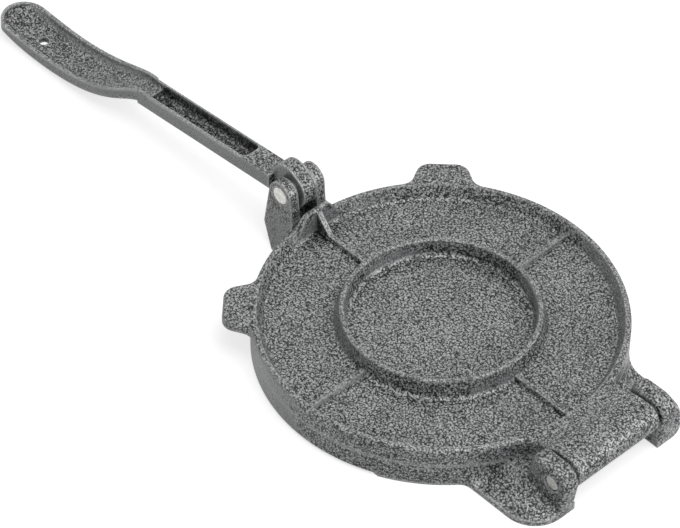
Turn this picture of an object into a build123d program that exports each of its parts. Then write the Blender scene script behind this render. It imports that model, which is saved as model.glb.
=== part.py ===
from build123d import *
import os
from math import hypot

# Tortilla press: two round cast plates joined by a hinge and closed by a cam lever.
# +Z is up and +X runs from the lever to the hinge. The lid is closed, and the lever
# is laid back along -X with its grip on the standing plane, at Z = 0. The sizes below
# are measured from the axis of the round plates. The finished pieces are moved at the
# end, so that the origin lies on the clevis foot's sole, under the lever pivot.

# ---- Plates -------------------------------------------------------------------
plate_radius = 101.5        # round part of both castings
foot_height = 1.2           # lower edge of the base above the standing plane
base_edge = 13.0            # height of the base's side
lid_edge = 11.1             # height of the lid's side
plate_gap = 0.3             # between the closed pressing faces
edge_break = 0.2            # rounding beside the parting line
rim_round = 2.2             # rounding outside the raised rim
base_round = 1.4            # rounding under the base's side
base_web = 5.0              # wall behind the base's pressing face
lid_web = 3.7               # wall behind the lid's pressing face

# ---- Lid relief ---------------------------------------------------------------
rim_crest = 3.2             # flat top of the rim
rim_wall_run = 3.9          # sideways run of the rim's inner wall
rim_foot_round = 2.6
rim_crest_round = 1.0
ring_radius = 53.0          # centre line of the stiffening ring
ring_crest = 2.6
ring_height = 9.7
ring_inner_run = 1.6
ring_outer_run = 3.0
ring_crest_round = 0.9
ring_foot_round = 2.6
rib_width = 4.6             # at the foot of a stiffening rib
rib_height = 2.4
rib_draft = 24.0            # degrees

# ---- Lid tabs -----------------------------------------------------------------
tab_angle = 135.0           # each side of the hinge direction
tab_length = 14.8           # beyond the plate's edge
tab_root_width = 37.0
tab_tip_width = 26.0
tab_thickness = 5.2
tab_corner = 8.0
tab_foot_round = 8.0

# ---- Nose, the lid's bearing for the cam --------------------------------------
nose_height = 7.6           # above the rim
nose_crest = 3.0
nose_width = 16.0
nose_root_width = 34.0
nose_root_depth = 7.0
nose_setback = 3.1          # crest behind the plate's edge
nose_root_drop = 5.7        # root section below the rim's crest
nose_round = 1.1
nose_lip = 0.2              # bow of the nose's outer face, at its crest
nose_web = 3.0
nose_web_run = 11.0
nose_web_drop = 1.2         # web's high end below the nose's crest

# ---- Hinge --------------------------------------------------------------------
pin_overhang = 21.8         # pin's axis beyond the plate's edge
pin_height = 6.6            # pin's axis above the base's pressing face
pin_radius = 4.6
pin_recess = 0.9            # pin end inside the lug's outer face
pin_chamfer = 0.6
pin_fit = 0.05              # radial, in the lugs
hinge_fit = 0.08            # radial, in the lid's barrel
barrel_radius = 9.0
barrel_length = 59.4
barrel_side_gap = 1.5       # to each lug
apron_level = 5.3           # level top of the apron, from the pin towards the rim
apron_round = 1.3
apron_flare = 10.0          # hollow corner between the plate's edge and the apron
lug_thickness = 11.0
lug_radius = 10.7
lug_front_gap = 8.7         # lug's foot to the lid's side, measured along X
lug_lean = 3.5              # lean of the lug's front over its height
lug_corner = 5.0
lug_toe_reach = 7.7         # outer end of a lug's foot beyond the pin's axis
lug_round = 3.2

# ---- Foot pads ----------------------------------------------------------------
pad_reach = 18.5            # pad beyond the lug's outer face
pad_edge = 3.4
pad_drop = 0.7              # pad's slope meets the lug below the pressing face
pad_toe_rise = 5.0          # and at this height at the lug's toe
pad_inset = 21.5            # pad's inner end from the plate's edge, along X
pad_corner = 19.0
pad_hollow = 24.0           # radius of the concave slope
pad_skirt = 8.0             # radius of the hollow corner at the plate's side
pad_flare = 8.0             # hollow corner of the outline beside the plate

# ---- Clevis and lever pivot ---------------------------------------------------
pivot_overhang = 11.5       # pivot's axis beyond the plate's edge
pivot_height = 13.4         # pivot's axis above the lid's rim
pivot_radius = 5.3
pivot_dome = 0.5
pivot_fit = 0.05            # radial, in the ears
knuckle_fit = 0.10          # radial, in the lever
ear_radius = 8.4
ear_thickness = 6.3
ear_front_gap = 1.0         # ear's front to the plate's edge
clevis_gap = 13.0
clevis_back_run = 12.5      # clevis behind the pivot's axis, at its knee
clevis_knee_drop = 1.8      # knee below the base's pressing face
clevis_floor = 4.0          # bridge between the ears above the pressing face
bridge_slope = 4.0
crease_rise = 11.2          # high end of the flank's crease above the pressing face
root_toe_run = 8.5          # foot behind the pivot's axis
root_bite = 6.5             # foot inside the plate's edge
root_corner_run = 2.0       # foot's rear corner behind the pivot's axis
root_corner_half = 17.0     # foot's rear corner from the middle
root_width = 46.0           # blank that the flanks are cut from

# ---- Lever --------------------------------------------------------------------
knuckle_width = 9.4
knuckle_radius = 11.3
cam_back = 3.5              # cam's centre behind the pivot's axis
cam_lift = 2.5              # cam's centre above the pivot's axis
cam_radius = 10.9
shoulder = 14.0             # arm's end behind the pivot's axis
arm_width = 16.1
arm_depth = 10.2
arm_drop = 1.5              # arm's centre line below the pivot's axis
arm_length = 124.0          # arm's far end behind the pivot's axis
arm_end_level = 26.1        # arm's centre line at its far end
arm_round = 1.6
pocket_start = 36.0         # behind the pivot's axis
pocket_end = 118.4
pocket_width = 12.2
pocket_depth = 8.0
pocket_corner = 3.6
pocket_foot_round = 3.4
grip_half_width = 14.2
grip_length = 124.0         # grip beyond the arm
grip_low = 0.2              # grip's lowest point above the standing plane
grip_wall = 1.9
grip_floor = 3.6
hollow_lead = 7.0           # hollow of the grip runs this far into the arm
hollow_depth = 4.0          # at its start, in the arm
grip_corner = 4.5           # rounding under the grip
grip_bowl = 0.66            # rounding inside the grip, per half width of the hollow
grip_depth = 9.8
hang_setback = 31.0         # hanging hole's centre from the grip's tip
hang_radius = 3.1

# ---- Levels and places that follow --------------------------------------------
base_top = foot_height + base_edge
lid_bottom = base_top + plate_gap
lid_floor = lid_bottom + lid_web
rim_top = lid_bottom + lid_edge
ring_top = lid_floor + ring_height
rim_crest_radius = plate_radius - rim_crest
rim_foot_radius = rim_crest_radius - rim_wall_run
rim_flat_radius = rim_crest_radius + rim_crest_round
ring_inner = ring_radius - ring_crest / 2
ring_outer = ring_radius + ring_crest / 2
tab_reach = plate_radius + tab_length
pin_x = plate_radius + pin_overhang
pin_z = base_top + pin_height
lug_inner = barrel_length / 2 + barrel_side_gap
lug_outer = lug_inner + lug_thickness
lug_front = (plate_radius**2 - lug_inner**2) ** 0.5 + lug_front_gap
lug_toe = pin_x + lug_toe_reach
pad_start = plate_radius - pad_inset
pad_rise = base_top - pad_drop
pivot_x = -plate_radius - pivot_overhang
pivot_z = rim_top + pivot_height
ear_front = -plate_radius - ear_front_gap
ear_inner = clevis_gap / 2
ear_outer = ear_inner + ear_thickness
clevis_back = pivot_x - clevis_back_run
clevis_knee = base_top - clevis_knee_drop
root_toe = pivot_x - root_toe_run
root_start = -plate_radius + root_bite
arm_fall = (pivot_z - arm_drop - arm_end_level) / arm_length
grip_start = pivot_x - arm_length
grip_tip = grip_start - grip_length
tip_centre = grip_tip + grip_half_width
hang_x = grip_tip + hang_setback

os.makedirs("parts", exist_ok=True)


def section(x, half_width, low, high, corner):
    """Closed section across the lever at x, level on top, with its lower corners rounded."""
    with BuildSketch(Plane.YZ.offset(x)) as face:
        with BuildLine():
            lower = FilletPolyline(
                (half_width, high),
                (half_width * 0.97, low),
                (-half_width * 0.97, low),
                (-half_width, high),
                radius=[corner, corner],
            )
            Line(lower @ 1, lower @ 0)
        make_face()
    return face.sketch


# ---- Lid casting --------------------------------------------------------------
with BuildPart() as hinge_apron:
    # Apron that rises from the rim's crest in one smooth sweep and carries the barrel
    apron_end = (pin_x - apron_level, pin_z + barrel_radius)
    with BuildSketch(Plane.XZ):
        with BuildLine():
            Line((rim_foot_radius, rim_top), (rim_flat_radius, rim_top))
            Spline((rim_flat_radius, rim_top), apron_end, tangents=[(1, 0), (1, 0)])
            Line(apron_end, (pin_x, pin_z + barrel_radius))
            Polyline(
                (pin_x, pin_z + barrel_radius),
                (pin_x, lid_bottom),
                (rim_foot_radius, lid_bottom),
                (rim_foot_radius, rim_top),
            )
        make_face()
        with Locations((pin_x, pin_z)):
            Circle(barrel_radius)
    extrude(amount=barrel_length / 2, both=True)
    shoulders = hinge_apron.edges().filter_by_position(Axis.Z, rim_top, 2 * pivot_z)
    fillet(shoulders.filter_by(Axis.Y, reverse=True), apron_round)
    with BuildSketch(Plane.XY):
        Circle(rim_flat_radius)
    extrude(amount=ring_top, mode=Mode.SUBTRACT)

with BuildPart() as lid:
    with BuildSketch(Plane.XZ):
        with BuildLine():
            contour = FilletPolyline(
                (0, lid_floor),
                (ring_inner - ring_inner_run, lid_floor),
                (ring_inner, ring_top),
                (ring_outer, ring_top),
                (ring_outer + ring_outer_run, lid_floor),
                (rim_foot_radius, lid_floor),
                (rim_crest_radius, rim_top),
                (plate_radius, rim_top),
                (plate_radius, lid_bottom),
                (0, lid_bottom),
                radius=[
                    ring_foot_round,
                    ring_crest_round,
                    ring_crest_round,
                    ring_foot_round,
                    rim_foot_round,
                    rim_crest_round,
                    0,
                    edge_break,
                ],
            )
            Line(contour @ 1, contour @ 0)
        make_face()
    revolve(axis=Axis.Z)

    # Hollow corners that lead the plate's edge into the apron's sides
    with BuildSketch(Plane.XY.offset(lid_bottom)) as corners:
        Circle(plate_radius)
        with Locations((plate_radius, 0)):
            Rectangle(4 * rim_crest, barrel_length)
        inner = corners.vertices().filter_by(lambda v: v.X < plate_radius)
        fillet(inner, apron_flare)
        Circle(rim_crest_radius, mode=Mode.SUBTRACT)
    extrude(amount=lid_edge)

    # Two tabs flush with the rim's crest, run into the rim with hollow corners
    with BuildSketch(Plane.XY.offset(rim_top - tab_thickness)) as tabs:
        Circle(plate_radius)
        with PolarLocations(0, 2, tab_angle, 2 * (180 - tab_angle), endpoint=True):
            Polygon(
                (rim_crest_radius, -tab_root_width / 2),
                (tab_reach, -tab_tip_width / 2),
                (tab_reach, tab_tip_width / 2),
                (rim_crest_radius, tab_root_width / 2),
                align=None,
            )
        tips = tabs.vertices().filter_by(lambda v: hypot(v.X, v.Y) > tab_reach)
        fillet(tips, tab_corner)
        roots = tabs.vertices().filter_by(
            lambda v: v.X < 0 and abs(hypot(v.X, v.Y) - plate_radius) < edge_break / 100
        )
        fillet(roots, tab_foot_round)
        Circle(rim_crest_radius, mode=Mode.SUBTRACT)
    extrude(amount=tab_thickness)
    upper_outline = lid.edges().filter_by_position(Axis.Z, rim_top, rim_top).filter_by(
        lambda e: hypot((e @ 0.5).X, (e @ 0.5).Y) > rim_crest_radius + rim_crest / 2
    )
    fillet(upper_outline, rim_round)

    # Four drafted ribs from the ring to the rim
    rib_start = ring_outer + ring_outer_run / 2
    rib_end = rim_foot_radius + rim_wall_run / 2
    with BuildSketch(Plane.XY.offset(lid_floor)):
        with PolarLocations((rib_start + rib_end) / 2, 4):
            Rectangle(rib_end - rib_start, rib_width)
    extrude(amount=rib_height, taper=rib_draft)

    # Nose: a raised length of the rim with sloping flanks
    nose_root_z = rim_top - nose_root_drop
    nose_top_z = rim_top + nose_height
    root_back = -(plate_radius**2 - (nose_root_width / 2) ** 2) ** 0.5
    crest_back = -plate_radius + nose_setback
    with BuildSketch(Plane.XY.offset(nose_root_z)):
        Polygon(
            (-plate_radius, -nose_width / 4),
            (root_back, -nose_root_width / 2),
            (-plate_radius + nose_root_depth, -nose_root_width / 2),
            (-plate_radius + nose_root_depth, nose_root_width / 2),
            (root_back, nose_root_width / 2),
            (-plate_radius, nose_width / 4),
            align=None,
        )
    with BuildSketch(Plane.XY.offset(nose_top_z)):
        Polygon(
            (crest_back, -nose_width / 4),
            (crest_back + nose_lip, -nose_width / 2),
            (crest_back + nose_crest, -nose_width / 2),
            (crest_back + nose_crest, nose_width / 2),
            (crest_back + nose_lip, nose_width / 2),
            (crest_back, nose_width / 4),
            align=None,
        )
    loft(ruled=True)
    fillet(lid.edges().group_by(Axis.Z)[-1], nose_round)

    # Thin web from the nose's crest down to the rib
    web_top = nose_top_z - nose_web_drop
    web_start = crest_back + nose_crest
    with BuildSketch(Plane.XZ):
        Polygon(
            (web_start - nose_crest / 2, lid_bottom + lid_web / 2),
            (web_start - nose_crest / 2, web_top),
            (web_start, web_top),
            (web_start + nose_web_run, lid_floor + rib_height / 2),
            (web_start + nose_web_run, lid_bottom + lid_web / 2),
            align=None,
        )
    extrude(amount=nose_web / 2, both=True)

    # Apron and barrel, bored for the hinge pin
    add(hinge_apron.part)
    with BuildSketch(Plane.XZ):
        with Locations((pin_x, pin_z)):
            Circle(pin_radius + hinge_fit)
    extrude(amount=barrel_length, both=True, mode=Mode.SUBTRACT)
lid.part.label = "lid_casting"


# ---- Base casting -------------------------------------------------------------
def lug(side):
    """Hinge lug with its foot, on one side of the hinge."""
    lug_top = pin_z + lug_radius
    with BuildPart() as one:
        with BuildSketch(Plane.XZ.offset(-side * lug_inner)) as outline:
            with BuildLine():
                Polyline(
                    (pin_x + lug_radius, pin_z),
                    (lug_toe, 0),
                    (pad_start + lug_corner, 0),
                    (pad_start + lug_corner, base_top),
                    (lug_front, base_top),
                    (lug_front + lug_lean, lug_top),
                    (pin_x, lug_top),
                )
                RadiusArc((pin_x, lug_top), (pin_x + lug_radius, pin_z), lug_radius)
            make_face()
            fillet(outline.vertices().group_by(Axis.Y)[-1].sort_by(Axis.X)[0], lug_corner)
        extrude(amount=-side * lug_thickness)
        rims = one.edges().filter_by(Axis.Y, reverse=True)
        rims = rims.filter_by_position(Axis.X, lug_front, 2 * pin_x)
        fillet(rims.filter_by_position(Axis.Z, lug_round, 2 * pivot_z), lug_round)
    return one.part


def pad_section(side, x, rise):
    """Upright section of a foot pad at x, with its hollow slope up to the lug."""
    reach = lug_outer + pad_reach
    with BuildSketch(Plane.YZ.offset(x)) as face:
        with BuildLine():
            Polyline(
                (side * lug_outer, rise),
                (side * lug_inner, rise),
                (side * lug_inner, 0),
                (side * (reach + pad_flare), 0),
                (side * (reach + pad_flare), pad_edge),
                (side * reach, pad_edge),
            )
            RadiusArc((side * reach, pad_edge), (side * lug_outer, rise), side * pad_hollow)
        make_face()
    return face.sketch


def pad(side):
    """Foot pad that slopes up in hollow curves to a lug and to the plate's side."""
    reach = lug_outer + pad_reach
    with BuildPart() as one:
        extrude(pad_section(side, pad_start, pad_rise), amount=lug_front - pad_start)
        add(pad_section(side, lug_front, pad_rise))
        add(pad_section(side, lug_toe, pad_toe_rise))
        loft()
        with BuildSketch(Plane.XZ):
            with BuildLine():
                Polyline(
                    (plate_radius, pad_edge + pad_skirt),
                    (plate_radius - base_round, pad_edge + pad_skirt),
                    (plate_radius - base_round, 0),
                    (plate_radius + pad_skirt, 0),
                    (plate_radius + pad_skirt, pad_edge),
                )
                RadiusArc(
                    (plate_radius + pad_skirt, pad_edge),
                    (plate_radius, pad_edge + pad_skirt),
                    pad_skirt,
                )
            make_face()
        revolve(axis=Axis.Z)
        with BuildSketch(Plane.XY) as outline:
            Circle(plate_radius)
            with BuildLine():
                edge = FilletPolyline(
                    (pad_start, side * reach),
                    (lug_toe, side * reach),
                    (lug_toe, side * lug_inner),
                    radius=[pad_corner],
                )
                Polyline(edge @ 1, (pad_start, side * lug_inner), edge @ 0)
            make_face()
            meeting = outline.vertices().filter_by(lambda v: side * v.Y > reach - edge_break)
            fillet(meeting.sort_by(Axis.X)[0], pad_flare)
            with Locations((pad_start, side * reach)):
                Rectangle(2 * pad_inset + 4 * pad_corner, 2 * (reach - lug_inner), mode=Mode.INTERSECT)
        extrude(amount=pad_rise, mode=Mode.INTERSECT)
    return one.part


def flank(side):
    """One side of the clevis foot, with slanted faces that meet at the ear's knee."""
    knee = Vector(clevis_back, side * ear_outer, clevis_knee)
    crease_end = Vector(ear_front, side * ear_outer, base_top + crease_rise)
    toe = Vector(root_toe, side * ear_outer, 0)
    corner = Vector(pivot_x - root_corner_run, side * root_corner_half, 0)
    with BuildPart() as one:
        with BuildSketch(Plane.XZ.offset(-side * ear_inner)):
            Polygon(
                (clevis_back, clevis_knee),
                (ear_front, base_top + crease_rise),
                (ear_front, base_top),
                (root_start, base_top),
                (root_start, 0),
                (root_toe, 0),
                align=None,
            )
        extrude(amount=-side * root_width / 2)
        for first, second in ((crease_end, corner), (corner, toe)):
            outward = (first - knee).cross(second - knee) * side
            split(bisect_by=Plane(origin=knee, z_dir=outward), keep=Keep.BOTTOM)
    return one.part


lugs = [lug(side) for side in (-1, 1)]
pads = [pad(side) for side in (-1, 1)]
flanks = [flank(side) for side in (-1, 1)]

with BuildPart() as base:
    # Round plate, hollow underneath inside its skirt and stiffening ring
    under_floor = base_top - base_web
    with BuildSketch(Plane.XZ):
        with BuildLine():
            contour = FilletPolyline(
                (0, base_top),
                (plate_radius, base_top),
                (plate_radius, foot_height),
                (rim_crest_radius - rim_crest, foot_height),
                (rim_foot_radius - rim_crest, under_floor),
                (ring_outer + ring_outer_run, under_floor),
                (ring_outer, foot_height + rim_round),
                (ring_inner, foot_height + rim_round),
                (ring_inner - ring_inner_run, under_floor),
                (0, under_floor),
                radius=[
                    edge_break,
                    base_round,
                    rim_crest_round,
                    ring_foot_round,
                    ring_foot_round,
                    ring_crest_round,
                    ring_crest_round,
                    ring_foot_round,
                ],
            )
            Line(contour @ 1, contour @ 0)
        make_face()
    revolve(axis=Axis.Z)
    with BuildSketch(Plane.XY.offset(under_floor)):
        with PolarLocations((rib_start + rib_end) / 2 - rim_crest, 4):
            Rectangle(rib_end - rib_start, rib_width)
    extrude(amount=-rib_height, taper=rib_draft)

    # Foot and bridge of the clevis
    with BuildSketch(Plane.XZ):
        Polygon(
            (ear_front, base_top + clevis_floor),
            (clevis_back + bridge_slope, base_top + clevis_floor),
            (clevis_back, clevis_knee),
            (root_toe, 0),
            (root_start, 0),
            (root_start, base_top),
            (ear_front, base_top),
            align=None,
        )
    extrude(amount=ear_inner, both=True)

    # Two ears
    for side in (-1, 1):
        with BuildSketch(Plane.XZ.offset(-side * ear_inner)) as ear:
            with BuildLine():
                Polyline(
                    (pivot_x + ear_radius, pivot_z),
                    (ear_front, base_top),
                    (ear_front, clevis_knee / 2),
                    (root_toe, clevis_knee / 2),
                    (clevis_back, clevis_knee),
                    (pivot_x - ear_radius, pivot_z),
                )
                ThreePointArc(
                    (pivot_x - ear_radius, pivot_z),
                    (pivot_x, pivot_z + ear_radius),
                    (pivot_x + ear_radius, pivot_z),
                )
            make_face()
        extrude(amount=-side * ear_thickness)

    # Flanks, lugs and pads
    for piece in flanks + lugs + pads:
        add(piece)

    # Bores for the two pins
    with BuildSketch(Plane.XZ):
        with Locations((pivot_x, pivot_z)):
            Circle(pivot_radius + pivot_fit)
        with Locations((pin_x, pin_z)):
            Circle(pin_radius + pin_fit)
    extrude(amount=lug_outer + pad_reach, both=True, mode=Mode.SUBTRACT)
base.part.label = "base_casting"


# ---- Lever casting ------------------------------------------------------------
def arm_level(x):
    """Height of the arm's centre line at x."""
    return pivot_z - arm_drop + arm_fall * (x - pivot_x)


# Stations along the grip: place beyond the arm, half width, bottom and rim
grip_rise = arm_end_level - arm_depth / 2
stations = (
    (0.0, arm_width / 2, grip_rise, grip_rise + arm_depth),
    (10.0, 10.8, 18.0, 27.2),
    (22.0, 13.2, 12.6, 21.6),
    (40.0, grip_half_width, 6.0, 15.4),
    (58.0, grip_half_width, 1.9, 11.7),
    (76.0, grip_half_width, grip_low, grip_low + grip_depth),
    (94.0, grip_half_width, grip_low, grip_low + grip_depth),
    (110.0, grip_half_width, 2.4, 10.6),
    (grip_length, grip_half_width, 6.4, 11.8),
)

with BuildPart() as grip:
    for place, half_width, low, high in stations:
        add(section(grip_start - place, half_width, low, high, grip_corner))
    loft()
    with BuildSketch(Plane.XY):
        with Locations((tip_centre, 0)):
            Circle(grip_half_width)
        with Locations(((tip_centre + grip_start) / 2, 0)):
            Rectangle(grip_start - tip_centre, 3 * grip_half_width)
    extrude(amount=pivot_z, mode=Mode.INTERSECT)

with BuildPart() as hollow:
    hollow_start = grip_start + hollow_lead
    hollow_low = arm_level(hollow_start) + arm_depth / 2 - hollow_depth
    add(section(
        hollow_start, pocket_width / 2, hollow_low, hollow_low + 2 * arm_depth, pocket_corner
    ))
    for place, half_width, low, high in stations[1:]:
        inside = half_width - grip_wall
        add(section(
            grip_start - place, inside, low + grip_floor, high + arm_depth, inside * grip_bowl
        ))
    loft()
    with BuildSketch(Plane.XY):
        with Locations((tip_centre, 0)):
            Circle(grip_half_width - grip_wall)
        with Locations(((tip_centre + grip_start) / 2, 0)):
            Rectangle(grip_start - tip_centre + 2 * hollow_lead, 3 * grip_half_width)
    extrude(amount=2 * pivot_z, mode=Mode.INTERSECT)

slope_plane = Plane(
    origin=(pivot_x, 0, arm_level(pivot_x) + arm_depth / 2),
    x_dir=(1, 0, arm_fall),
    z_dir=(-arm_fall, 0, 1),
)
with BuildPart() as pocket:
    with BuildSketch(slope_plane.offset(-pocket_depth)):
        with Locations((-(pocket_start + pocket_end) / 2, 0)):
            RectangleRounded(pocket_end - pocket_start, pocket_width, pocket_corner)
    extrude(amount=2 * pocket_depth)
    fillet(pocket.faces().filter_by(GeomType.PLANE).sort_by(Axis.Z)[0].edges(), pocket_foot_round)

with BuildPart() as lever:
    # Arm, ending in the grip
    shoulder_x = pivot_x - shoulder
    shoulder_top = arm_level(shoulder_x) + arm_depth / 2
    shoulder_low = arm_level(shoulder_x) - arm_depth / 2
    with BuildSketch(Plane.XZ):
        Polygon(
            (shoulder_x, shoulder_low),
            (shoulder_x, shoulder_top),
            (grip_start, grip_rise + arm_depth),
            (grip_start, grip_rise),
            align=None,
        )
    extrude(amount=arm_width / 2, both=True)
    fillet(lever.edges().filter_by(lambda e: e.length > arm_length / 2), arm_round)
    add(grip.part)

    # Knuckle with its cam, narrower than the arm
    with BuildSketch(Plane.XZ):
        Polygon(
            (pivot_x - cam_back, pivot_z + cam_lift),
            (shoulder_x - arm_round, shoulder_top - arm_round),
            (shoulder_x - arm_round, shoulder_low + arm_round),
            (shoulder_x, shoulder_low),
            (pivot_x, pivot_z - knuckle_radius),
            align=None,
        )
        with Locations((pivot_x, pivot_z)):
            Circle(knuckle_radius)
        with Locations((pivot_x - cam_back, pivot_z + cam_lift)):
            Circle(cam_radius)
    extrude(amount=knuckle_width / 2, both=True)

    # Pocket, hollow of the grip, pivot bore and hanging hole
    add(pocket.part, mode=Mode.SUBTRACT)
    add(hollow.part, mode=Mode.SUBTRACT)
    with BuildSketch(Plane.XZ):
        with Locations((pivot_x, pivot_z)):
            Circle(pivot_radius + knuckle_fit)
    extrude(amount=arm_width, both=True, mode=Mode.SUBTRACT)
    with BuildSketch(Plane.XY):
        with Locations((hang_x, 0)):
            Circle(hang_radius)
    extrude(amount=pivot_z, mode=Mode.SUBTRACT)
lever.part.label = "lever_casting"


# ---- Pins ---------------------------------------------------------------------
with BuildPart() as pivot:
    with BuildSketch(Plane.XZ.offset(-ear_outer)):
        with Locations((pivot_x, pivot_z)):
            Circle(pivot_radius)
    extrude(amount=2 * ear_outer)
    fillet(pivot.edges().filter_by(GeomType.CIRCLE), pivot_dome)
pivot.part.label = "lever_pivot"

with BuildPart() as rod:
    with BuildSketch(Plane.XZ.offset(-lug_outer + pin_recess)):
        with Locations((pin_x, pin_z)):
            Circle(pin_radius)
    extrude(amount=2 * (lug_outer - pin_recess))
    chamfer(rod.edges().filter_by(GeomType.CIRCLE), pin_chamfer)
rod.part.label = "hinge_pin"

# The castings are drawn about the plates' axis. The part's origin is on the sole of
# the clevis foot, straight under the lever pivot.
to_origin = Location((-pivot_x, 0, 0))
for piece in (base, lid, lever, pivot, rod):
    export_step(piece.part.moved(to_origin), f"parts/{piece.part.label}.step")
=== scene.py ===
import math

import bpy
from mathutils import Matrix, Vector

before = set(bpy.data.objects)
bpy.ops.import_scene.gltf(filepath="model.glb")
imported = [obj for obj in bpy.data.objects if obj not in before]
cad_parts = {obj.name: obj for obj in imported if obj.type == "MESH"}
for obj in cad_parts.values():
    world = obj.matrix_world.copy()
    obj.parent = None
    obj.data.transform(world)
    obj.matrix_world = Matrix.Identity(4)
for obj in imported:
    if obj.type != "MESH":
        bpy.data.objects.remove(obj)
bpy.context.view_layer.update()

MM = 0.001


def linear(hex_colour):
    """A linear RGBA colour from an sRGB hex value such as "8c8c8c"."""
    channels = [int(hex_colour[i : i + 2], 16) / 255 for i in (0, 2, 4)]
    return [c / 12.92 if c <= 0.04045 else ((c + 0.055) / 1.055) ** 2.4 for c in channels] + [1.0]


def add(tree, kind, inputs=None, **settings):
    """One node; each input takes a plain value or the output socket that feeds it."""
    made = tree.nodes.new(kind)
    for name, value in settings.items():
        setattr(made, name, value)
    for key, value in (inputs or {}).items():
        if isinstance(value, bpy.types.NodeSocket):
            tree.links.new(value, made.inputs[key])
        else:
            made.inputs[key].default_value = value
    return made


def blank_material(name):
    """A new material with an empty tree."""
    material = bpy.data.materials.new(name)
    material.use_nodes = True
    material.node_tree.nodes.clear()
    return material, material.node_tree


# Hammertone powder coat, baked on rough cast iron. Grey leafing flake floats in a dark resin, and as the
# coat cures the flake draws together into pale cells a couple of millimetres across. The dark resin is
# left between them as thin, broken veins that lie a little lower. The eye sees a mid grey satin sheen
# with short black squiggles all over it. Painted shade: in hollows, found by ambient occlusion, the veins
# are painted wider and the grey darker. Painted reflection: upright walls that face a chosen side are
# painted smooth, without veins and in a plainer grey, as a reflection sheen. Painted highlight: sharp
# edges and rib crests are painted paler, with fewer veins, and they are also rougher.
CELL_MM = 1.75
VEIN_HALF_WIDTH = 0.135
# Painted shade: how much wider the veins are painted in hollows.
HOLLOW_SHADE_VEIN_OPENING = 0.15
BREAK_MM = 1.4
FLAKE_MM = 0.9
MOTTLE_MM = 11.0
CLOUD_MM = 38.0
COAT_RELIEF_MM = 0.09
HOLLOW_REACH_MM = 14.0
EDGE_REACH_MM = 2.0
# Painted reflection: the share of the veins left on a wall that is painted with the reflection sheen.
SHEEN_VEIN_LEFT = 0.15
# How squarely a wall has to face the sheen side before its veins begin to fade under the painted reflection sheen, and
# are gone.
SHEEN_FADING = 0.86
SHEEN_VEINS_GONE = 0.94
HOLLOW_SHEEN_FADING = 0.93
HOLLOW_SHEEN_VEINS_GONE = 0.975


def bearing(degrees):
    """The level direction that lies this many degrees from X toward Y."""
    return (math.cos(math.radians(degrees)), math.sin(math.radians(degrees)), 0.0)


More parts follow.
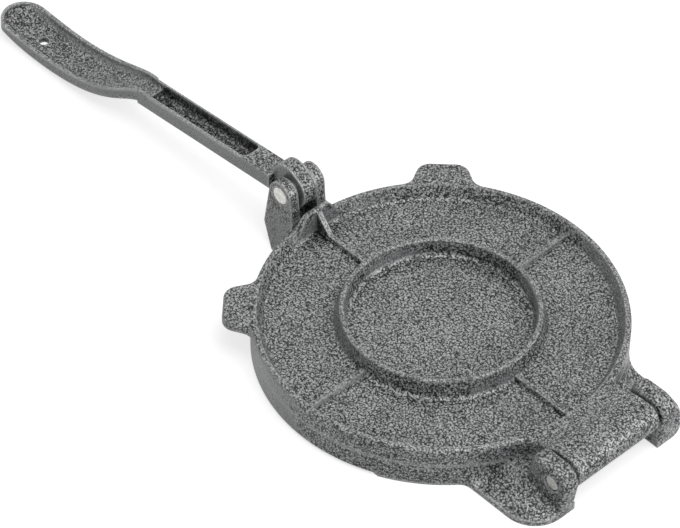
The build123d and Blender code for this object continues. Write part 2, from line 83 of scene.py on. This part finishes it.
def hammertone(name, sheen_side, hollow_sheen_side):
    """The grey hammertone coat of one casting.

    Its upright walls that face sheen_side are painted smooth, as a painted reflection sheen, and so are
    the walls in its hollows that face hollow_sheen_side. Both sides are in degrees from X toward Y.
    """
    material, tree = blank_material(name)
    place = add(tree, "ShaderNodeTexCoord")
    mm = add(tree, "ShaderNodeVectorMath", {0: place.outputs["Object"], "Scale": 1 / MM}, operation="SCALE")
    sway = add(tree, "ShaderNodeTexNoise", {"Vector": mm.outputs[0], "Scale": 0.45, "Detail": 1.0})
    centred = add(tree, "ShaderNodeVectorMath", {0: sway.outputs["Color"], 1: (0.5, 0.5, 0.5)}, operation="SUBTRACT")
    pushed = add(tree, "ShaderNodeVectorMath", {0: centred.outputs[0], "Scale": 2.0}, operation="SCALE")
    wandered = add(tree, "ShaderNodeVectorMath", {0: mm.outputs[0], 1: pushed.outputs[0]}, operation="ADD")

    # Painted shade: ambient occlusion finds the hollows, and the veins are painted wider there.
    open_sky = add(tree, "ShaderNodeAmbientOcclusion", {"Distance": HOLLOW_REACH_MM * MM}, samples=6, only_local=True)
    hollow_shade = add(tree, "ShaderNodeMapRange", {"Value": open_sky.outputs["AO"], "From Min": 0.42, "From Max": 0.88,
                 "To Min": 1.0, "To Max": 0.0}, interpolation_type="SMOOTHSTEP")
    cells = add(tree, "ShaderNodeTexVoronoi", {"Vector": wandered.outputs[0], "Scale": 1 / CELL_MM, "Randomness": 1.0},
                feature="DISTANCE_TO_EDGE", voronoi_dimensions="3D")
    from_edge = add(tree, "ShaderNodeMath", {0: hollow_shade.outputs[0], 1: -HOLLOW_SHADE_VEIN_OPENING, 2: cells.outputs["Distance"]},
                    operation="MULTIPLY_ADD")
    joints = add(tree, "ShaderNodeMapRange", {"Value": from_edge.outputs[0], "From Min": VEIN_HALF_WIDTH * 0.4,
                 "From Max": VEIN_HALF_WIDTH * 1.6, "To Min": 1.0, "To Max": 0.0}, interpolation_type="SMOOTHSTEP")
    breaks = add(tree, "ShaderNodeTexNoise", {"Vector": mm.outputs[0], "Scale": 1 / BREAK_MM, "Detail": 0.0})
    kept = add(tree, "ShaderNodeMapRange", {"Value": breaks.outputs["Fac"], "From Min": 0.36, "From Max": 0.46},
               interpolation_type="SMOOTHSTEP")
    vein = add(tree, "ShaderNodeMath", {0: joints.outputs[0], 1: kept.outputs[0]}, operation="MULTIPLY")

    mottle = add(tree, "ShaderNodeTexNoise", {"Vector": mm.outputs[0], "Scale": 1 / MOTTLE_MM, "Detail": 2.0})
    facing = add(tree, "ShaderNodeSeparateXYZ", {0: place.outputs["Normal"]})
    level = add(tree, "ShaderNodeMath", {0: facing.outputs["Z"]}, operation="ABSOLUTE")
    upright = add(tree, "ShaderNodeMapRange", {"Value": level.outputs[0], "From Min": 0.55, "From Max": 0.85,
                  "To Min": 1.0, "To Max": 0.0}, interpolation_type="SMOOTHSTEP")
    walled = add(tree, "ShaderNodeMapRange", {"Value": open_sky.outputs["AO"], "From Min": 0.74, "From Max": 0.90,
                 "To Min": 1.0, "To Max": 0.0})
    outward = add(tree, "ShaderNodeMapRange", {"Value": walled.outputs[0], "To Min": 1.0, "To Max": 0.0})
    outside = add(tree, "ShaderNodeMath", {0: outward.outputs[0], 1: upright.outputs[0]}, operation="MULTIPLY")
    sheltered = add(tree, "ShaderNodeMath", {0: walled.outputs[0], 1: upright.outputs[0]}, operation="MULTIPLY")
    flat = add(tree, "ShaderNodeVectorMath", {0: place.outputs["Normal"], 1: (1.0, 1.0, 0.0)}, operation="MULTIPLY")
    heading = add(tree, "ShaderNodeVectorMath", {0: flat.outputs[0]}, operation="NORMALIZE")
    unevenly = add(tree, "ShaderNodeMath", {0: mottle.outputs["Fac"], 1: 0.3, 2: -0.15}, operation="MULTIPLY_ADD")
    # Painted reflection: upright walls that face the sheen side, and hollow walls that face the hollow sheen side, are
    # painted without veins.
    sheened = []
    for side, fading, gone, where in ((sheen_side, SHEEN_FADING, SHEEN_VEINS_GONE, outside),
                                      (hollow_sheen_side, HOLLOW_SHEEN_FADING, HOLLOW_SHEEN_VEINS_GONE, sheltered)):
        squarely = add(tree, "ShaderNodeVectorMath", {0: heading.outputs[0], 1: bearing(side)}, operation="DOT_PRODUCT")
        ragged = add(tree, "ShaderNodeMath", {0: squarely.outputs["Value"], 1: unevenly.outputs[0]}, operation="ADD")
        faced = add(tree, "ShaderNodeMapRange", {"Value": ragged.outputs[0], "From Min": fading, "From Max": gone},
                    interpolation_type="SMOOTHSTEP")
        sheened.append(add(tree, "ShaderNodeMath", {0: faced.outputs[0], 1: where.outputs[0]}, operation="MULTIPLY"))
    wall_sheen = add(tree, "ShaderNodeMath", {0: sheened[0].outputs[0], 1: sheened[1].outputs[0]}, operation="MAXIMUM")
    vein_left_by_sheen = add(tree, "ShaderNodeMapRange", {"Value": wall_sheen.outputs[0], "To Min": 1.0, "To Max": SHEEN_VEIN_LEFT})

    # Painted highlight: inside ambient occlusion finds convex edges and rib crests, which are painted with fewer veins
    # here and also made rougher.
    thickness = add(tree, "ShaderNodeAmbientOcclusion", {"Distance": EDGE_REACH_MM * MM}, samples=6, inside=True,
                    only_local=True)
    edge = add(tree, "ShaderNodeMapRange", {"Value": thickness.outputs["AO"], "From Min": 0.60, "From Max": 0.93,
               "To Min": 1.0, "To Max": 0.0}, interpolation_type="SMOOTHSTEP")
    edge_vein_left = add(tree, "ShaderNodeMapRange", {"Value": edge.outputs[0], "To Min": 1.0, "To Max": 0.35})
    vein_left = add(tree, "ShaderNodeMath", {0: vein_left_by_sheen.outputs[0], 1: edge_vein_left.outputs[0]}, operation="MULTIPLY")
    shown = add(tree, "ShaderNodeMath", {0: vein.outputs[0], 1: vein_left.outputs[0]}, operation="MULTIPLY")

    flake = add(tree, "ShaderNodeTexNoise", {"Vector": mm.outputs[0], "Scale": 1 / FLAKE_MM, "Detail": 1.0})
    cloud = add(tree, "ShaderNodeTexNoise", {"Vector": mm.outputs[0], "Scale": 1 / CLOUD_MM, "Detail": 2.0})
    broad = add(tree, "ShaderNodeMix", {"Factor": 0.5, "A": mottle.outputs["Fac"], "B": cloud.outputs["Fac"]})
    uneven = add(tree, "ShaderNodeMix", {"Factor": 0.25, "A": flake.outputs["Fac"], "B": broad.outputs["Result"]})
    cell = add(tree, "ShaderNodeValToRGB", {"Fac": uneven.outputs["Result"]})
    cell.color_ramp.elements[0].position, cell.color_ramp.elements[0].color = 0.37, linear("6e6f70")
    cell.color_ramp.elements[1].position, cell.color_ramp.elements[1].color = 0.65, linear("d9dadb")
    # Painted reflection: the sheen walls are painted a plain grey, 868788, in place of the pale cells.
    sheen_grey_share = add(tree, "ShaderNodeMath", {0: wall_sheen.outputs[0], 1: 0.7}, operation="MULTIPLY")
    ground = add(tree, "ShaderNodeMix", {"Factor": sheen_grey_share.outputs[0], 6: cell.outputs["Color"], 7: linear("868788")},
                 data_type="RGBA")
    outside_sheen = add(tree, "ShaderNodeMath", {0: 1.0, 1: wall_sheen.outputs[0]}, operation="SUBTRACT")
    # Painted shade: deep hollows are painted darker, towards 262626, except on the walls that carry the painted
    # reflection sheen.
    painted_shade = add(tree, "ShaderNodeMapRange", {"Value": open_sky.outputs["AO"], "From Min": 0.25, "From Max": 0.74,
               "To Min": 0.95, "To Max": 0.0})
    shade_share = add(tree, "ShaderNodeMath", {0: painted_shade.outputs[0], 1: outside_sheen.outputs[0]}, operation="MULTIPLY")
    shaded = add(tree, "ShaderNodeMix", {"Factor": shade_share.outputs[0], 6: ground.outputs[2], 7: linear("262626")},
                  data_type="RGBA")
    # Painted highlight: the edges are painted paler, towards dcdddd.
    highlight_share = add(tree, "ShaderNodeMath", {0: edge.outputs[0], 1: 0.5}, operation="MULTIPLY")
    highlighted = add(tree, "ShaderNodeMix", {"Factor": highlight_share.outputs[0], 6: shaded.outputs[2], 7: linear("dcdddd")},
                   data_type="RGBA")
    colour = add(tree, "ShaderNodeMix", {"Factor": shown.outputs[0], 6: highlighted.outputs[2], 7: linear("0b0b0b")},
                 data_type="RGBA")

    gloss = add(tree, "ShaderNodeMapRange", {"Value": uneven.outputs["Result"], "From Min": 0.3, "From Max": 0.7,
                "To Min": 0.22, "To Max": 0.36})
    dried = add(tree, "ShaderNodeMath", {0: edge.outputs[0], 1: 0.20, 2: gloss.outputs[0]}, operation="MULTIPLY_ADD")
    lows = add(tree, "ShaderNodeMath", {0: shown.outputs[0], 1: -1.0}, operation="MULTIPLY")
    rough = add(tree, "ShaderNodeMath", {0: vein_left.outputs[0], 1: 0.45}, operation="MULTIPLY")
    grain = add(tree, "ShaderNodeMath", {0: flake.outputs["Fac"], 1: rough.outputs[0], 2: lows.outputs[0]},
                operation="MULTIPLY_ADD")
    relief = add(tree, "ShaderNodeBump", {"Strength": 0.7, "Distance": COAT_RELIEF_MM * MM, "Height": grain.outputs[0]})
    coat = add(tree, "ShaderNodeBsdfPrincipled", {"Base Color": colour.outputs[2], "Metallic": 0.2,
               "Roughness": dried.outputs[0], "Normal": relief.outputs[0]})
    add(tree, "ShaderNodeOutputMaterial", {"Surface": coat.outputs[0]})
    return material


# Bare turned steel, the pins' stock as it comes off a bar lathe. The eye sees a bright, slightly warm
# metal with fine rings on the ends.
TURNING_MM = 0.45


def turned_steel():
    """The bare steel of the lever's rivet and the hinge pin."""
    material, tree = blank_material("turned_steel")
    place = add(tree, "ShaderNodeTexCoord")
    mm = add(tree, "ShaderNodeVectorMath", {0: place.outputs["Object"], "Scale": 1 / MM}, operation="SCALE")
    stain = add(tree, "ShaderNodeTexNoise", {"Vector": mm.outputs[0], "Scale": 0.5, "Detail": 3.0})
    scratch = add(tree, "ShaderNodeTexNoise", {"Vector": mm.outputs[0], "Scale": 1 / TURNING_MM, "Detail": 1.0})
    bright = add(tree, "ShaderNodeValToRGB", {"Fac": stain.outputs["Fac"]})
    bright.color_ramp.elements[0].position, bright.color_ramp.elements[0].color = 0.35, linear("d6d5d2")
    bright.color_ramp.elements[1].position, bright.color_ramp.elements[1].color = 0.65, linear("f4f3f0")
    gloss = add(tree, "ShaderNodeMapRange", {"Value": stain.outputs["Fac"], "To Min": 0.32, "To Max": 0.48})
    relief = add(tree, "ShaderNodeBump", {"Strength": 0.3, "Distance": 0.02 * MM, "Height": scratch.outputs["Fac"]})
    steel = add(tree, "ShaderNodeBsdfPrincipled", {"Base Color": bright.outputs["Color"], "Metallic": 1.0,
                "Roughness": gloss.outputs[0], "Normal": relief.outputs[0]})
    add(tree, "ShaderNodeOutputMaterial", {"Surface": steel.outputs[0]})
    return material


FINISHES = {
    hammertone("hammertone_plates", -120, -10): ["base_casting", "lid_casting"],
    hammertone("hammertone_lever", -95, 85): ["lever_casting"],
    turned_steel(): ["lever_pivot", "hinge_pin"],
}
for finish, names in FINISHES.items():
    for name in names:
        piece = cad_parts[name]
        piece.data.materials.clear()
        piece.data.materials.append(finish)

# The floor is white paper under soft light. It shows white to the camera and in gloss, and keeps a faint
# shadow under the press.
FLOOR_SIZE = 6.0
PAPER_GLOW = 0.68
PAPER_GLOW_IN_GLOSS = 0.35


def paper_floor():
    """A wide white floor at the level that the press stands on."""
    half = FLOOR_SIZE / 2
    mesh = bpy.data.meshes.new("floor")
    mesh.from_pydata([(-half, -half, 0), (half, -half, 0), (half, half, 0), (-half, half, 0)], [], [(0, 1, 2, 3)])
    floor = bpy.data.objects.new("floor", mesh)
    bpy.context.scene.collection.objects.link(floor)
    material, tree = blank_material("white_paper")
    ray = add(tree, "ShaderNodeLightPath")
    mirrored = add(tree, "ShaderNodeMath", {0: ray.outputs["Is Glossy Ray"], 1: ray.outputs["Is Transmission Ray"]},
                   operation="MAXIMUM")
    in_gloss = add(tree, "ShaderNodeMath", {0: mirrored.outputs[0], 1: PAPER_GLOW_IN_GLOSS}, operation="MULTIPLY")
    strength = add(tree, "ShaderNodeMath", {0: ray.outputs["Is Camera Ray"], 1: PAPER_GLOW, 2: in_gloss.outputs[0]},
                   operation="MULTIPLY_ADD")
    paper = add(tree, "ShaderNodeBsdfDiffuse", {"Color": linear("efefef")})
    glow = add(tree, "ShaderNodeEmission", {"Color": (1, 1, 1, 1), "Strength": strength.outputs[0]})
    lit = add(tree, "ShaderNodeAddShader", {0: paper.outputs[0], 1: glow.outputs[0]})
    add(tree, "ShaderNodeOutputMaterial", {"Surface": lit.outputs[0]})
    mesh.materials.append(material)


paper_floor()

# Light: a large soft box overhead, a smaller one at the right behind the hinge, and a dim, even room.
# Each soft box: where it hangs, its side in metres and its power in watts.
SOFTBOXES = {
    "overhead": ((0.42, 0.05, 1.35), 1.15, 7.8),
    "right": ((1.28, 0.80, 0.54), 1.0, 5.0),
}
LIT_POINT = Vector((0.05, 0.0, 0.0))
ROOM_LEVEL = 0.22


def studio_light():
    """The soft boxes and the room, white to the camera and in gloss and even grey to the rest."""
    for name, (spot, side, watts) in SOFTBOXES.items():
        lamp = bpy.data.lights.new(name, "AREA")
        lamp.shape = "SQUARE"
        lamp.size = side
        lamp.energy = watts
        softbox = bpy.data.objects.new(name, lamp)
        aim = (LIT_POINT - Vector(spot)).to_track_quat("-Z", "Y").to_matrix().to_4x4()
        softbox.matrix_world = Matrix.Translation(spot) @ aim
        bpy.context.scene.collection.objects.link(softbox)
    world = bpy.data.worlds.new("room")
    world.use_nodes = True
    bpy.context.scene.world = world
    tree = world.node_tree
    tree.nodes.clear()
    ray = add(tree, "ShaderNodeLightPath")
    room = add(tree, "ShaderNodeBackground", {"Color": (1, 1, 1, 1), "Strength": ROOM_LEVEL})
    white = add(tree, "ShaderNodeBackground", {"Color": (1, 1, 1, 1), "Strength": 1.0})
    mirrored = add(tree, "ShaderNodeMath", {0: ray.outputs["Is Glossy Ray"], 1: ray.outputs["Is Transmission Ray"]},
                   operation="MAXIMUM")
    seen = add(tree, "ShaderNodeMath", {0: ray.outputs["Is Camera Ray"], 1: mirrored.outputs[0]}, operation="MAXIMUM")
    either = add(tree, "ShaderNodeMixShader", {0: seen.outputs[0], 1: room.outputs[0], 2: white.outputs[0]})
    add(tree, "ShaderNodeOutputWorld", {"Surface": either.outputs[0]})


studio_light()

# Camera at the photograph's viewing angle, fitted to the round rim, the ring, the ribs and the lugs.
AIM = Vector((0.031975, 0.002894, 0.0))
AZIMUTH = math.radians(45.999)
ELEVATION = math.radians(44.428)
ROLL = math.radians(1.099)
DISTANCE = 1.979875
LENS_MM = 191.04


def photo_camera():
    """The scene's camera."""
    back = Vector((math.sin(AZIMUTH) * math.cos(ELEVATION), -math.cos(AZIMUTH) * math.cos(ELEVATION), math.sin(ELEVATION)))
    right = Vector((math.cos(AZIMUTH), math.sin(AZIMUTH), 0.0))
    up = back.cross(right)
    across = right * math.cos(ROLL) + up * math.sin(ROLL)
    upward = up * math.cos(ROLL) - right * math.sin(ROLL)
    data = bpy.data.cameras.new("photo_view")
    data.sensor_width = 36.0
    data.lens = LENS_MM
    data.clip_start = 0.05
    data.clip_end = 50.0
    camera = bpy.data.objects.new("photo_view", data)
    turn = Matrix((across, upward, back)).transposed().to_4x4()
    camera.matrix_world = Matrix.Translation(AIM + back * DISTANCE) @ turn
    bpy.context.scene.collection.objects.link(camera)
    bpy.context.scene.camera = camera


photo_camera()
bpy.context.scene.view_settings.view_transform = "Standard"
